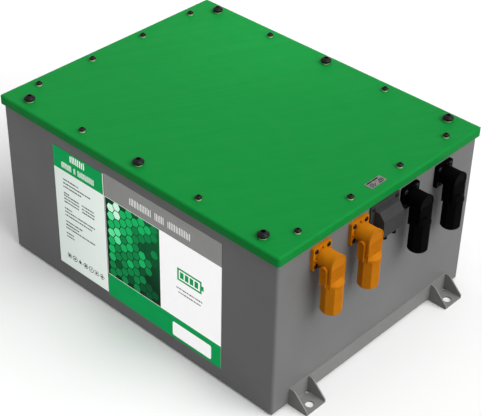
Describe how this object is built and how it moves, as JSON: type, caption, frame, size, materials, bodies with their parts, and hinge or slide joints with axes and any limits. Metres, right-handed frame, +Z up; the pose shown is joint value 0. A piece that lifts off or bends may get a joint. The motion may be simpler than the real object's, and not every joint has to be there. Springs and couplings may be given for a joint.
{
  "type": "lithium-ion battery pack",
  "caption": "Steel-cased lithium-ion storage battery with a screwed lid, folded mounting feet, right-angle power plugs, a signal hood and printed side labels.",
  "frame": {"origin": "centre of the four mounting holes at the underside of the feet", "axes": "+Z up, +X towards the wall with the power plugs, -Y towards the wall with the labels"},
  "size_m": [0.6317, 0.4404, 0.2928],
  "materials": {
    "case_grey": "satin grey powder coat",
    "lid_green": "satin green powder coat",
    "black_steel": "black oxide, satin",
    "zinc": "zinc plated",
    "rubber_grey": "matte",
    "data_film": "printed film, satin",
    "front_film": "printed film, satin",
    "plate_silver": "satin",
    "plug_orange": "fine texture",
    "plug_black": "fine texture",
    "hood_grey": "satin",
    "copper": "bare copper",
    "cell_blue": "film over an aluminium can",
    "insulation": "matte",
    "plate_alu": "machined",
    "side_steel": "zinc plated sheet",
    "device_black": "satin",
    "fuse_ceramic": "ceramic body between copper blades",
    "board_green": "solder mask"
  },
  "bodies": {
    "root": {"case": "case_grey", "foot_rail_front": "case_grey", "foot_rail_rear": "case_grey", "lid": "lid_green", "lid_gasket": "rubber_grey", "lid_screws_large": "black_steel", "lid_screws_small": "black_steel", "lid_washers": "zinc", "rivet_nuts": "zinc", "lid_plate": "plate_silver", "label_data": "data_film", "label_front": "front_film", "socket_pos_a": "plug_orange", "socket_pos_b": "plug_orange", "socket_neg_a": "plug_black", "socket_neg_b": "plug_black", "socket_pins": "copper", "socket_seals": "rubber_grey", "plug_pos_a": "plug_orange", "plug_pos_b": "plug_orange", "plug_neg_a": "plug_black", "plug_neg_b": "plug_black", "gland_nut_pos_a": "plug_orange", "gland_nut_pos_b": "plug_orange", "gland_nut_neg_a": "plug_black", "gland_nut_neg_b": "plug_black", "plug_contacts": "copper", "cable_seals": "rubber_grey", "panel_screws": "black_steel", "panel_nuts": "zinc", "signal_hood": "hood_grey", "signal_insert": "device_black", "signal_glands": "plug_black", "cells_near_row": "cell_blue", "cells_far_row": "cell_blue", "cell_pads": "insulation", "cell_divider": "insulation", "base_pad": "insulation", "cell_links": "copper", "terminal_bolts": "zinc", "end_plate_front": "plate_alu", "end_plate_rear": "plate_alu", "side_plate_near": "side_steel", "side_plate_far": "side_steel", "side_plate_screws": "black_steel", "cell_cover": "insulation", "contactor": "device_black", "contactor_screws": "black_steel", "fuse": "fuse_ceramic", "shunt": "copper", "positive_bar": "copper", "negative_bar": "copper", "positive_lead": "copper", "negative_lead": "copper", "power_bolts": "zinc", "m8_nuts": "zinc", "bms_plate": "plate_alu", "bms_board": "board_green", "bms_screws": "black_steel"}
  },
  "joints": []
}
